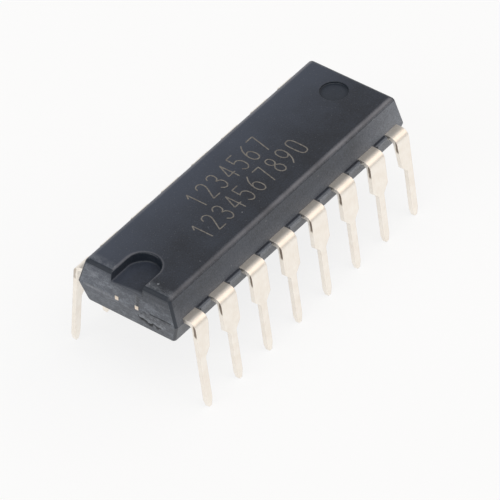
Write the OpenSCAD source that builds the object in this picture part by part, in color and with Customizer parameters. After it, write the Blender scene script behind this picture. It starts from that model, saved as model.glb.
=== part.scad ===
/* [Moulded body] */
// Distance from the centre of an end lead to the end of the body
end_margin = 0.83; // [0.7:0.01:1.6]
// Width of the body at its parting line
body_w = 6.4; // [5.9:0.02:7.4]
// Height of the upper half above the lead frame
upper_h = 1.38; // [1.1:0.02:2.2]
// Depth of the lower half below the lead frame
lower_h = 1.4; // [0.9:0.02:2.2]
// Lean of the long walls of the upper half, in degrees
side_draft_upper = 17; // [5:1:20]
// Lean of the long walls of the lower half, in degrees
side_draft_lower = 17; // [5:1:20]
// Lean of the end walls of the upper half, in degrees
end_draft_upper = 5; // [3:1:15]
// Lean of the end walls of the lower half, in degrees
end_draft_lower = 11; // [3:1:15]
// Rounding along the top and bottom edges
arris_r = 0.3; // [0.08:0.02:0.4]
// Rounding of the upright corners
corner_r = 0.18; // [0.1:0.02:0.4]
// How far the resin tabs between the leads stand out past the parting line
tab_out = 0.2; // [0.1:0.02:0.26]
// Gap between a resin tab and the leads beside it
tab_gap = 0.09; // [0.04:0.01:0.15]

/* [Index marks] */
// Length of the notch that marks the end with lead 1
notch_l = 2.4; // [1.6:0.1:3]
// Width of the notch
notch_w = 2; // [1.2:0.1:2.4]
// Depth of the notch
notch_depth = 0.6; // [0.3:0.05:0.8]
// Diameter of the round recess at the other end
dimple_d = 1.54; // [1:0.02:2]
// Distance from the end of the body to the centre of the round recess
dimple_inset = 1.61; // [1.4:0.01:2.2]
// Distance of the round recess from the centre line
dimple_side = 0.15; // [0:0.05:0.4]
// Depth of the round recess
dimple_depth = 0.12; // [0.05:0.01:0.3]
// Rounding of the rim and of the floor's edge in the notch and the round recess
recess_r = 0.08; // [0.02:0.01:0.1]
// Diameter of the ejector pin marks on the underside
ejector_d = 1.5; // [1:0.1:2]
// Depth of the ejector pin marks
ejector_depth = 0.05; // [0.02:0.01:0.15]

/* [Leads] */
// Distance between the centres of neighbouring leads
pitch = 2.54; // [2.3:0.02:2.8]
// Thickness of the lead frame
lead_t = 0.25; // [0.2:0.01:0.3]
// Width of the wide upper part of a lead
shoulder_w = 1.26; // [1.14:0.02:1.4]
// Reach of an end lead from its own centre towards the middle of the row
end_reach = 0.8; // [0.6:0.02:0.9]
// What an end lead loses of that reach down to its shoulder
end_taper = 0.18; // [0:0.02:0.2]
// Width of the narrow pin that goes into a board
pin_w = 0.44; // [0.36:0.02:0.56]
// Length of the narrow pin
pin_l = 3.06; // [2.92:0.01:3.81]
// Width of the blunt end of a pin
tip_w = 0.2; // [0.14:0.02:0.3]
// Length of the taper at the end of a pin
tip_l = 0.42; // [0.2:0.02:0.6]
// Height from the bottom of the shoulders to the top of the lead frame
seat_h = 2.45; // [2.2:0.05:3]
// Height of the slope that narrows a shoulder to the pin
shoulder_slope_h = 0.45; // [0.2:0.05:0.7]
// Rounding of the shoulder's corners
shoulder_r = 0.12; // [0.04:0.02:0.16]
// Distance from the body to the outer face of the bend
bend_standoff = 0.74; // [0.62:0.01:1]
// Inner radius of the bend
bend_r = 0.25; // [0.15:0.01:0.3]
// Outward lean of the leads, in degrees
splay = 6; // [0:0.5:10]

/* [Inside the body] */
// How far the wide part of a lead reaches into the resin
shank_l = 0.82; // [0.7:0.02:0.9]
// Diameter of the hole that locks a lead in the resin
lock_d = 0.46; // [0.3:0.02:0.5]
// Distance of that hole from the parting line
lock_inset = 0.44; // [0.36:0.02:0.46]
// Width of the fingers that reach towards the chip
finger_w = 0.3; // [0.2:0.01:0.32]
// Smallest gap between neighbouring parts of the lead frame
frame_gap = 0.16; // [0.12:0.01:0.18]
// Length of the paddle that carries the chip
paddle_l = 3.8; // [3.4:0.1:4.4]
// Width of the paddle
paddle_w = 2.4; // [2.1:0.1:2.8]
// How far the paddle is pressed down below the leads
paddle_drop = 0.2; // [0.1:0.02:0.4]
// Width of the bar from the paddle to each end
tie_w = 0.4; // [0.3:0.02:0.5]
// Width of each of the two cut ends of that bar
prong_w = 0.22; // [0.16:0.02:0.3]
// Distance between the centres of the two cut ends
prong_pitch = 1.28; // [1:0.02:1.4]
// Length of the silicon chip
die_l = 2.3; // [1.6:0.1:2.8]
// Width of the silicon chip
die_w = 1.6; // [1.2:0.1:1.9]
// Thickness of the silicon chip
die_t = 0.28; // [0.2:0.02:0.4]
// Thickness of the adhesive under the chip
attach_t = 0.03; // [0.02:0.01:0.05]
// Diameter of the bond wires
wire_d = 0.03; // [0.02:0.005:0.05]
// Rise of a bond wire above a straight line between its ends
wire_loop = 0.3; // [0.15:0.05:0.5]

/* [Hidden] */

resin = "#3b3f44";
tin_plate = "#e6dfd2";
bare_copper = "#c8a27e";
silver_paste = "#b9babd";
silicon = "#4a5560";
gold = "#d9b44a";

row_leads = 8;
lead_count = 2 * row_leads;
last_rank = row_leads / 2 - 1;
body_l = (row_leads - 1) * pitch + 2 * end_margin;

// Heights, from the ends of the pins
frame_top = pin_l + seat_h;
frame_bottom = frame_top - lead_t;
body_top = frame_top + upper_h;
body_bottom = frame_bottom - lower_h;

// Half sizes of the body at its parting line, which lies level with the bottom of the lead frame
edge_x = body_l / 2;
edge_y = body_w / 2;

corner_steps = 6;
arris_steps = 5;
recess_steps = 4;
wall_overlap = 0.05;
cut_over = 1;

// The bend of a lead: its centre, in Y and Z, and the limb that follows it, with the distances
// along the limb to the pin, to the slope of the shoulder and to the taper of an end lead.
// form_reach is more than any part of a lead reaches from its bend.
bend_y = edge_y + bend_standoff - bend_r - lead_t;
bend_z = frame_bottom - bend_r;
limb_l = (bend_z + bend_r * sin(splay)) / cos(splay);
pin_v = limb_l - pin_l / cos(splay);
shoulder_v = pin_v - shoulder_slope_h;
taper_from = 0.1;
bend_steps = 12;
form_reach = 2 * seat_h;

// The lanes in which the fingers end beside the paddle, by rank from the middle of the row
lane_3 = tie_w / 2 + frame_gap + finger_w / 2;
lane_2 = lane_3 + finger_w + frame_gap;
lane_1 = max(paddle_w / 2 + frame_gap + finger_w / 2, lane_2 + finger_w + frame_gap);
lane_0 = paddle_w / 2 + frame_gap;
lanes = [lane_0, lane_1, lane_2, lane_3];

// Where each finger ends along the body
side_tip_x = paddle_l / 2 - 0.2;
end_tip_x = paddle_l / 2 + frame_gap + 0.2;
tips = [die_l / 4, side_tip_x, end_tip_x, end_tip_x];

// How far beyond its lane each finger begins and ends its first slant, and how far inwards
// along the row that slant takes it
slant_start = [0, 0.42, 0.85, 1.1];
slant_end = [0, 0.22, 0.4, 0.66];
slant_in = [0, 0.4, 0.75, 0.55];

// Straight length of a middle finger, and how far an end finger stands inwards of its lead
middle_run = 0.25;
end_finger_in = 0.2;
shank_y = edge_y - shank_l;

paddle_top = frame_top - paddle_drop;
die_bottom = paddle_top + attach_t;
die_top = die_bottom + die_t;
// The bar from the paddle: flat beside it, up a slope to the frame's level, then a fork whose
// solid part starts at fork_inset from the end of the body
tie_flat = 0.1;
tie_slope = 0.35;
fork_l = 0.45;
fork_inset = 1.25;

// The wires: where they stand on chip and finger, the ball, the stitch and the loop between
pad_inset = 0.14;
stitch_inset = 0.14;
ball_d = 3 * wire_d;
ball_h = wire_d;
stitch_l = 3.5 * wire_d;
stitch_w = 2 * wire_d;
stitch_h = wire_d / 3;
wire_sink = wire_d / 4;
loop_lean = 0.45;
wire_steps = 7;
wire_sides = 6;

function unit(v) = v / norm(v);
function left_of(v) = [-v[1], v[0]];

// A rounded rectangle with half sizes a and b, as points at height z
function ring(a, b, r, z) = [
    for (q = [0 : 3], k = [0 : corner_steps])
        let (
            sx = (q == 0 || q == 3) ? 1 : -1,
            sy = (q < 2) ? 1 : -1,
            t = 90 * q + 90 * k / corner_steps
        )
        [sx * (a - r) + r * cos(t), sy * (b - r) + r * sin(t), z]
];

// How far a wall has come in at a distance from the parting line: first straight, then round
// the arris. h is the whole height of that half of the body.
function wall_in(rise, h, draft) =
    let (
        arris_foot = h - arris_r * (1 - sin(draft)),
        centre_in = arris_foot * tan(draft) + arris_r * cos(draft),
        over = rise - h + arris_r
    )
    rise <= arris_foot ? rise * tan(draft) : centre_in - sqrt(arris_r * arris_r - over * over);

// The rings round the arris of one half of the body, from its walls to its flat face.
// up is 1 for the upper half and -1 for the lower one.
function arris_rings(h, side_draft, end_draft, up) =
    let (start = min(side_draft, end_draft))
    [for (k = [0 : arris_steps])
        let (rise = h - arris_r * (1 - sin(start + (90 - start) * k / arris_steps)))
        ring(edge_x - wall_in(rise, h, end_draft), edge_y - wall_in(rise, h, side_draft),
            corner_r, frame_bottom + up * rise)];

function reversed(list) = [for (i = [len(list) - 1 : -1 : 0]) list[i]];

// A closed skin over a stack of rings that all have the same number of points
module loft(rings) {
    n = len(rings[0]);
    m = len(rings);
    sides = [
        for (i = [0 : m - 2], j = [0 : n - 1])
            [i * n + j, (i + 1) * n + j, (i + 1) * n + (j + 1) % n, i * n + (j + 1) % n]
    ];
    first = [for (j = [0 : n - 1]) j];
    last = [for (j = [n - 1 : -1 : 0]) (m - 1) * n + j];
    polyhedron(points = [for (r = rings) each r], faces = concat(sides, [first, last]), convexity = 4);
}

// Round the corners of an outline: each corner is [point, radius]
function rounded(corners, steps = 4) = [
    for (i = [0 : len(corners) - 1])
        let (
            n = len(corners),
            p = corners[i][0],
            r = corners[i][1],
            a = unit(corners[(i + n - 1) % n][0] - p),
            b = unit(corners[(i + 1) % n][0] - p),
            half = acos(a * b) / 2,
            reach = r / tan(half),
            centre = p + unit(a + b) * r / sin(half),
            from = p + a * reach - centre,
            turn = (a[0] * b[1] - a[1] * b[0] > 0 ? -1 : 1) * (180 - 2 * half)
        )
        each (r == 0 ? [p] : [
            for (k = [0 : steps])
                let (t = turn * k / steps)
                centre + [from[0] * cos(t) - from[1] * sin(t), from[0] * sin(t) + from[1] * cos(t)]
        ])
];

// The outline of a strip of width w along a path
function strip(path, w) =
    let (
        n = len(path) - 1,
        across = [
            for (i = [0 : n])
                let (
                    before = left_of(unit(path[max(i, 1)] - path[max(i, 1) - 1])),
                    after = left_of(unit(path[min(i, n - 1) + 1] - path[min(i, n - 1)]))
                )
                (before + after) / (1 + before * after) * w / 2
        ]
    )
    concat([for (i = [0 : n]) path[i] + across[i]], [for (i = [n : -1 : 0]) path[i] - across[i]]);

// Where lead n stands: its place counts along the row from the notch, its rank from the
// middle of the row outwards, both from zero
function place(n) = (n <= row_leads ? n - 1 : lead_count - n);
function lead_side(n) = place(n) < row_leads / 2 ? -1 : 1;
function lead_row(n) = n <= row_leads ? -1 : 1;
function rank(n) = abs(place(n) - (row_leads - 1) / 2) - 0.5;
function rank_x(m) = (m + 0.5) * pitch;

// The path of the finger of each rank, in the quarter where x and y are positive
function finger_path(m) =
    let (
        x = rank_x(m) - (m == last_rank ? end_finger_in : 0),
        root = [x, shank_y + wall_overlap],
        tip = [tips[m], lanes[m]]
    )
    m == 0 ? [root, [x, shank_y - middle_run], tip] :
    [root, [x, lanes[m] + slant_start[m]], [x - slant_in[m], lanes[m] + slant_end[m]], tip];

function finger_tip(m) = let (p = finger_path(m)) p[len(p) - 1];
function finger_end(m) = let (p = finger_path(m)) unit(p[len(p) - 1] - p[len(p) - 2]);

module quarter(side, row) {
    mirror([side < 0 ? 1 : 0, 0, 0])
        mirror([0, row < 0 ? 1 : 0, 0])
            children();
}

// Flat part of the lead frame between two heights
module frame_plate(points) {
    translate([0, 0, frame_bottom])
        linear_extrude(lead_t)
            polygon(points);
}

// The side view of a strip that is bent down from the flat frame, as points in Y and Z
function bent_strip() =
    let (
        centre = [bend_y, bend_z],
        down = [sin(splay), -cos(splay)] * (limb_l + cut_over),
        turn = 90 - splay
    )
    concat(
        [[shank_y, frame_bottom], [shank_y, frame_top]],
        [for (k = [0 : bend_steps]) let (t = 90 - turn * k / bend_steps)
            centre + (bend_r + lead_t) * [cos(t), sin(t)]],
        [centre + (bend_r + lead_t) * [cos(splay), sin(splay)] + down,
            centre + bend_r * [cos(splay), sin(splay)] + down],
        [for (k = [bend_steps : -1 : 0]) let (t = 90 - turn * k / bend_steps)
            centre + bend_r * [cos(t), sin(t)]]
    );

// The stamped outline of a lead, across the row and along the limb, from the limb's foot up
// past the bend
function stamped_outline(m) =
    let (
        x = rank_x(m),
        is_end = (m == last_rank),
        inner = lead_inner(m),
        outer = lead_outer(m),
        half_pin = pin_w / 2,
        half_tip = tip_w / 2,
        inner_side = is_end
            ? [[[x - inner, form_reach], 0], [[x - inner, -taper_from], 0],
                [[x - inner + end_taper, -shoulder_v], shoulder_r]]
            : [[[x - inner, form_reach], 0], [[x - inner, -shoulder_v], shoulder_r]],
        outer_side = is_end
            ? [[[x + outer, form_reach], 0]]
            : [[[x + half_pin, -pin_v], shoulder_r], [[x + outer, -shoulder_v], shoulder_r],
                [[x + outer, form_reach], 0]]
    )
    rounded(concat(
        inner_side,
        [
            [[x - half_pin, -pin_v], shoulder_r],
            [[x - half_pin, tip_l - limb_l], 0],
            [[x - half_tip, -limb_l], 0],
            [[x + half_tip, -limb_l], 0],
            [[x + half_pin, tip_l - limb_l], 0]
        ],
        outer_side));

// How far a lead reaches from the centre of its pin, towards the middle of the row and away
function lead_inner(m) = m == last_rank ? end_reach : shoulder_w / 2;
function lead_outer(m) = m == last_rank ? pin_w / 2 : shoulder_w / 2;

// One formed lead of the given rank, in the quarter where x and y are positive
module formed_lead(m) {
    x = rank_x(m);
    difference() {
        union() {
            intersection() {
                translate([x - pitch / 2, 0, 0])
                    rotate([90, 0, 90])
                        linear_extrude(pitch)
                            polygon(bent_strip());
                translate([0, bend_y, bend_z])
                    rotate([90 + splay, 0, 0])
                        linear_extrude(2 * form_reach, center = true)
                            polygon(stamped_outline(m));
            }
            frame_plate(strip(finger_path(m), finger_w));
        }
        translate([x - (lead_inner(m) - lead_outer(m)) / 2, edge_y - lock_inset, frame_bottom - cut_over])
            cylinder(h = lead_t + 2 * cut_over, d = lock_d, $fn = 32);
    }
}

module lead(n) {
    color(tin_plate)
        quarter(lead_side(n), lead_row(n))
            formed_lead(rank(n));
}

// Half of the paddle's tie bar: down from the frame's level to the paddle, then forked at the end
module tie_bar() {
    fork_x = edge_x - fork_inset;
    foot = paddle_l / 2 + tie_flat;
    head = foot + tie_slope;
    translate([0, tie_w / 2, 0])
        rotate([90, 0, 0])
            linear_extrude(tie_w)
                polygon([
                    [paddle_l / 2 - wall_overlap, paddle_top], [foot, paddle_top],
                    [head, frame_top], [fork_x + wall_overlap, frame_top],
                    [fork_x + wall_overlap, frame_bottom], [head, frame_bottom],
                    [foot, paddle_top - lead_t], [paddle_l / 2 - wall_overlap, paddle_top - lead_t]
                ]);
    outer = (prong_pitch + prong_w) / 2;
    inner = outer - prong_w;
    frame_plate([
        [fork_x, -outer], [edge_x, -outer], [edge_x, -inner], [fork_x + fork_l, -inner],
        [fork_x + fork_l, inner], [edge_x, inner], [edge_x, outer], [fork_x, outer]
    ]);
}

module die_paddle() {
    color(bare_copper) {
        translate([-paddle_l / 2, -paddle_w / 2, paddle_top - lead_t])
            cube([paddle_l, paddle_w, lead_t]);
        tie_bar();
        mirror([1, 0, 0])
            tie_bar();
    }
}

module die_attach() {
    color(silver_paste)
        translate([-die_l / 2, -die_w / 2, paddle_top])
            cube([die_l, die_w, attach_t]);
}

module silicon_die() {
    color(silicon)
        translate([-die_l / 2, -die_w / 2, die_bottom])
            cube([die_l, die_w, die_t]);
}

// Where the wire of each rank leaves the chip
function pad_point(m) =
    m == 0 ? [die_l / 8, die_w / 2 - pad_inset] :
    m == 1 ? [die_l * 3 / 8, die_w / 2 - pad_inset] :
    m == 2 ? [die_l / 2 - pad_inset, die_w / 4] :
    [die_l / 2 - pad_inset, die_w / 12];

// A gold wire from the chip to its finger: a ball, a loop of straight lengths and a flat stitch
module wire_loop_of(m) {
    from = pad_point(m);
    to = finger_tip(m) - finger_end(m) * stitch_inset;
    z_from = die_top + ball_h;
    z_to = frame_top + stitch_h + wire_d / 2;
    along = unit(to - from);
    across = [left_of(along)[0], left_of(along)[1], 0];
    path = [
        for (k = [0 : wire_steps])
            let (
                t = k / wire_steps,
                p = from + (to - from) * t,
                lift = wire_loop * (1 - pow(2 * t - 1, 4)) * (1 - loop_lean * t)
            )
            [p[0], p[1], z_from + (z_to - z_from) * t + lift]
    ];
    rings = [
        for (k = [0 : wire_steps])
            let (
                ahead = k == 0 ? [0, 0, 1] : k == wire_steps ? [along[0], along[1], 0]
                    : unit(path[k + 1] - path[k - 1]),
                up = cross(ahead, across)
            )
            [for (j = [0 : wire_sides - 1])
                let (t = 360 * j / wire_sides)
                path[k] + (across * cos(t) + up * sin(t)) * wire_d / 2]
    ];
    loft(rings);
    translate([from[0], from[1], die_top])
        cylinder(h = ball_h + wire_sink, d = ball_d, $fn = 12);
    translate([to[0], to[1], frame_top])
        rotate([0, 0, atan2(along[1], along[0])])
            translate([-stitch_l / 2, -stitch_w / 2, 0])
                cube([stitch_l, stitch_w, stitch_h + wire_sink]);
}

module bond_wire(n) {
    color(gold)
        quarter(lead_side(n), lead_row(n))
            wire_loop_of(rank(n));
}

// Half the section of a recess, from its middle outwards and from its floor up: the floor with a
// rounded edge, the wall, and a rim that rounds over onto the top face, then runs on past it
function recess_section(half_w, depth) =
    let (
        r = min(recess_r, depth / 3),
        rim = [for (k = [0 : recess_steps]) let (t = 180 - 90 * k / recess_steps)
            [half_w + r * (1 + cos(t)), depth - r * (1 - sin(t))]],
        last = rim[recess_steps] + (rim[recess_steps] - rim[recess_steps - 1])
    )
    concat(
        [[0, 0]],
        [for (k = [0 : recess_steps]) let (t = 90 * k / recess_steps - 90)
            [half_w - r * (1 - cos(t)), r * (1 + sin(t))]],
        [for (k = [0 : recess_steps - 1]) rim[k]],
        [last, [last[0], depth + cut_over], [0, depth + cut_over]]
    );

module round_recess(d, depth) {
    rotate_extrude($fn = 64)
        polygon(recess_section(d / 2, depth));
}

// The recess that shows where lead 1 is: a round end with a straight channel to the end of the body
module index_notch() {
    half = recess_section(notch_w / 2, notch_depth);
    translate([notch_l - notch_w / 2 - edge_x, 0, body_top - notch_depth]) {
        round_recess(notch_w, notch_depth);
        rotate([90, 0, -90])
            linear_extrude(notch_l)
                polygon(concat(half, reversed([for (p = half) if (p[0] > 0) [-p[0], p[1]]])));
    }
}

module index_dimple() {
    translate([edge_x - dimple_inset, dimple_side, body_top - dimple_depth])
        round_recess(dimple_d, dimple_depth);
}

// The marks of the two pins that push the moulding out of the lower half of its mould
module ejector_marks() {
    for (side = [-1, 1])
        translate([side * (edge_x - dimple_inset), 0, body_bottom - cut_over])
            cylinder(h = ejector_depth + cut_over, d = ejector_d, $fn = 64);
}

// Resin that the mould leaves between two leads of a row
module resin_tab(m) {
    low = m < 0 ? -(rank_x(0) - shoulder_w / 2 - tab_gap) : rank_x(m) + shoulder_w / 2 + tab_gap;
    high = m < 0 ? -low
        : m + 1 == last_rank ? rank_x(m + 1) - end_reach - tab_gap
        : rank_x(m + 1) - shoulder_w / 2 - tab_gap;
    r = tab_out / 2;
    root_y = edge_y - wall_in(lead_t, upper_h + lead_t, side_draft_upper) - wall_overlap;
    frame_plate(rounded([
        [[low, root_y], 0], [[high, root_y], 0],
        [[high, edge_y + tab_out], r], [[low, edge_y + tab_out], r]
    ]));
}

module moulded_body() {
    color(resin)
        difference() {
            union() {
                loft(concat(
                    reversed(arris_rings(lower_h, side_draft_lower, end_draft_lower, -1)),
                    [ring(edge_x, edge_y, corner_r, frame_bottom)],
                    arris_rings(upper_h + lead_t, side_draft_upper, end_draft_upper, 1)));
                for (row = [-1, 1]) {
                    quarter(1, row)
                        resin_tab(-1);
                    for (side = [-1, 1], m = [0 : last_rank - 1])
                        quarter(side, row)
                            resin_tab(m);
                }
            }
            index_notch();
            index_dimple();
            ejector_marks();
            for (n = [1 : lead_count]) {
                lead(n);
                bond_wire(n);
            }
            die_paddle();
            die_attach();
            silicon_die();
        }
}

moulded_body();
die_paddle();
die_attach();
silicon_die();
lead(1);  // lead_1
lead(2);  // lead_2
lead(3);  // lead_3
lead(4);  // lead_4
lead(5);  // lead_5
lead(6);  // lead_6
lead(7);  // lead_7
lead(8);  // lead_8
lead(9);  // lead_9
lead(10);  // lead_10
lead(11);  // lead_11
lead(12);  // lead_12
lead(13);  // lead_13
lead(14);  // lead_14
lead(15);  // lead_15
lead(16);  // lead_16
bond_wire(1);  // bond_wire_1
bond_wire(2);  // bond_wire_2
bond_wire(3);  // bond_wire_3
bond_wire(4);  // bond_wire_4
bond_wire(5);  // bond_wire_5
bond_wire(6);  // bond_wire_6
bond_wire(7);  // bond_wire_7
bond_wire(8);  // bond_wire_8
bond_wire(9);  // bond_wire_9
bond_wire(10);  // bond_wire_10
bond_wire(11);  // bond_wire_11
bond_wire(12);  // bond_wire_12
bond_wire(13);  // bond_wire_13
bond_wire(14);  // bond_wire_14
bond_wire(15);  // bond_wire_15
bond_wire(16);  // bond_wire_16
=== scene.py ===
import math

import bmesh
import bpy
from bpy.props import FloatProperty, FloatVectorProperty, PointerProperty, StringProperty
from mathutils import Matrix, Vector, noise


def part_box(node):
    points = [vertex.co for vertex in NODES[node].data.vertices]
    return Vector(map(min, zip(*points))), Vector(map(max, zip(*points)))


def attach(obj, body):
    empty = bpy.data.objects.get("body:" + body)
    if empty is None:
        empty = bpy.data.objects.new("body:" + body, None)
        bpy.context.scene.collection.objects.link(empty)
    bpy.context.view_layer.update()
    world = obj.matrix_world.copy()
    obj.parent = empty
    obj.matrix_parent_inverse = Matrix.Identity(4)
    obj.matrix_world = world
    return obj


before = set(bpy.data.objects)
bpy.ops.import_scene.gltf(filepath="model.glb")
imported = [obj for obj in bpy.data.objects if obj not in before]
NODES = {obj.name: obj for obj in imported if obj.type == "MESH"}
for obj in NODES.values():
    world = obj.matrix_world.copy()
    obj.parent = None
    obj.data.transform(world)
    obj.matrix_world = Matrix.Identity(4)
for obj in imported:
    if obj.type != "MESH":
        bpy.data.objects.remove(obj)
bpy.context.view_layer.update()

bl_info = {
    "name": "Dual in-line package finish",
    "version": (1, 0, 0),
    "blender": (4, 5, 0),
    "location": "View3D > Sidebar > Package",
    "description": "Gives a 16-lead package its resin, plate, marking, mould traces and stage",
    "category": "Object",
}

MM = 0.001

LEADS = [name for name in NODES if name.startswith("lead_")]
WIRES = [name for name in NODES if name.startswith("bond_wire_")]

# Heights and ends of the moulding, in millimetres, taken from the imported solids. The moulding
# parts at the underside of the strip that the lead frame is stamped from
BODY_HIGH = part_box("moulded_body")[1] / MM
BODY_TOP, BODY_END = BODY_HIGH.z, BODY_HIGH.x
FRAME_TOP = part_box("die_paddle")[1].z / MM
STRIP = 0.25
PARTING = FRAME_TOP - STRIP

# The same sizes as in the source of the solids, in millimetres and degrees
END_DRAFT_UPPER, END_DRAFT_LOWER, SIDE_DRAFT = 5, 11, 17
HALF_WIDTH = 3.2
NOTCH_HALF_WIDTH, NOTCH_DEPTH = 1.0, 0.6
NOTCH_CENTRE_X = 1.4 - BODY_END
LEAD_SPLAY = 6
RECESS_X, RECESS_Y, RECESS_RADIUS = BODY_END - 1.61, 0.15, 0.77
# A point on the outer face of a lead's straight limb: out from the middle, and height
LIMB_OUT, LIMB_HIGH = HALF_WIDTH + 0.737, FRAME_TOP - 0.448
# The crest of the rounded arris along each side of the top face: out from the middle, and height
ARRIS_OUT, ARRIS_HIGH = HALF_WIDTH - 0.58, BODY_TOP - 0.02

# Sizes of the mould's traces on the end walls, in millimetres. Places are across the wall, and
# heights are over the parting line
GATE_START, GATE_STOP, GATE_FOOT = -2.45, -0.64, -0.91
GATE_EDGE = ((-0.64, -0.28), (-0.72, -0.36), (-0.93, -0.4), (-1.19, -0.44), (-1.3, -0.6),
             (-1.54, -0.5), (-1.7, -0.46), (-1.82, -0.54), (-2.05, -0.58), (-2.45, -0.46))
RUNNER_FOOT, RUNNER_HEAD = 0.08, 0.94
# Each run of flash, clear of the tie bars' cut ends: start, stop and the height of its seam
FLASH_RUNS = ((-3.0, -0.8, 0.17), (0.85, 3.0, 0.14))
# Where the painted shadow along the seam by the gate ends
SEAM_SHADE_STOP = -1.45

# Chips: place in millimetres (a height over the parting line only for those on the side wall),
# length, width and angle
CHIPS = (
    (-8.93, -1.5, None, 0.17, 0.15, 0.4), (-9.17, -1.13, None, 0.2, 0.08, 0.2),
    (-2.2, -1.68, None, 0.11, 0.09, 0.3), (-6.36, -2.18, None, 0.08, 0.07, 1.1),
    (-4.1, -0.95, None, 0.26, 0.025, 0.8), (-9.15, 1.1, None, 0.2, 0.05, 0.1),
    (-1.71, 0, 1.25, 0.12, 0.09, 0.3), (2.68, 0, 1.15, 0.12, 0.08, 0.8),
    (7.59, 0, 1.44, 0.22, 0.07, 0.2), (-4.9, 0, 0.64, 0.08, 0.05, 0.5),
)

# Lower left corner of each line of the marking, in millimetres
UPPER_START, LOWER_START = (-3.08, 0.15), (-4.78, -1.54)
# Single-stroke figures on a grid 4 wide and 8 high, as the laser draws them
GRID_WIDE, GRID_HIGH = 4, 8
FIGURES = {
    "0": [[(1, 0), (0, 1.2), (0, 6.8), (1, 8), (3, 8), (4, 6.8), (4, 1.2), (3, 0), (1, 0)]],
    "1": [[(0.8, 6.4), (2.2, 8), (2.2, 0)]],
    "2": [[(0, 6.6), (0.5, 7.6), (1.4, 8), (2.8, 8), (3.7, 7.4), (4, 6.3), (3.7, 5.1), (0, 0),
           (4, 0)]],
    "3": [[(0, 6.9), (0.8, 7.8), (2, 8), (3.3, 7.6), (3.8, 6.3), (3.3, 4.9), (1.8, 4.3)],
          [(1.8, 4.3), (3.4, 3.8), (4, 2.3), (3.5, 0.8), (2.2, 0), (0.9, 0.2), (0, 1.2)]],
    "4": [[(3, 0), (3, 8), (0, 2.4), (4, 2.4)]],
    "5": [[(3.8, 8), (0.4, 8), (0.2, 4.6), (1.4, 5.1), (2.6, 5), (3.7, 4.1), (4, 2.6), (3.6, 1),
           (2.4, 0), (1, 0.1), (0, 1.1)]],
    "6": [[(3.5, 8), (1.6, 6.4), (0.4, 4.2), (0, 2.3), (0.4, 0.8), (1.4, 0), (2.7, 0), (3.7, 0.9),
           (4, 2.4), (3.6, 3.9), (2.5, 4.7), (1.3, 4.5), (0.3, 3.6)]],
    "7": [[(0, 8), (4, 8), (1.6, 0)]],
    "8": [[(2, 4.3), (0.7, 5), (0.3, 6.3), (0.8, 7.6), (2, 8), (3.2, 7.6), (3.7, 6.3), (3.3, 5),
           (2, 4.3), (0.5, 3.4), (0, 2.1), (0.6, 0.6), (2, 0), (3.4, 0.6), (4, 2.1), (3.5, 3.4),
           (2, 4.3)]],
    "9": [[(0.5, 0), (2.4, 1.6), (3.6, 3.8), (4, 5.7), (3.6, 7.2), (2.6, 8), (1.3, 8), (0.3, 7.1),
           (0, 5.6), (0.4, 4.1), (1.5, 3.3), (2.7, 3.5), (3.7, 4.4)]],
}

# Name of the number on a mesh's points that paints the broken resin: pale on crumbs and ledges,
# partly a painted highlight, and nearly black in hollows, a painted shade
LIGHT_AND_SHADE = "stand"


def linear(hex_colour):
    """A six-digit sRGB hex colour as linear red, green and blue."""
    values = [int(hex_colour[i:i + 2], 16) / 255 for i in (0, 2, 4)]
    return [v / 12.92 if v <= 0.04045 else ((v + 0.055) / 1.055) ** 2.4 for v in values]


def add(tree, kind, inputs=None, **settings):
    """Adds a node with its settings, and sets or links its inputs. A node that is given as an
    input stands for its first live output, and three numbers for a colour get their alpha."""
    node = tree.nodes.new(kind)
    count = len(tree.nodes)
    node.location = (240 * (count % 7), -300 * (count // 7))
    for name, value in settings.items():
        setattr(node, name, value)
    for name, value in (inputs or {}).items():
        socket = node.inputs[name]
        if isinstance(value, bpy.types.Node):
            value = next(output for output in value.outputs if output.enabled)
        if isinstance(value, bpy.types.NodeSocket):
            tree.links.new(value, socket)
        else:
            socket.default_value = [*value, 1.0] if socket.type == "RGBA" else value
    return node


def new_material(name):
    """A material with an empty tree, and the place on the object in millimetres."""
    material = bpy.data.materials.new(name)
    material.use_nodes = True
    tree = material.node_tree
    tree.nodes.clear()
    place = add(tree, "ShaderNodeTexCoord")
    mm = add(tree, "ShaderNodeVectorMath", {0: place.outputs["Object"], "Scale": 1 / MM},
             operation="SCALE")
    return material, tree, mm


def read_surface(tree, mm):
    """Where a spot lies, which way it faces and the same without signs, each split by axis, and
    how far out from the middle it lies."""
    normal = add(tree, "ShaderNodeNewGeometry").outputs["Normal"]
    unsigned = add(tree, "ShaderNodeVectorMath", {0: normal}, operation="ABSOLUTE")
    place, toward, facing = (
        add(tree, "ShaderNodeSeparateXYZ", {0: value}).outputs for value in (mm, normal, unsigned))
    out = add(tree, "ShaderNodeMath", {0: place["Y"]}, operation="ABSOLUTE")
    return place, toward, facing, out


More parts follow.
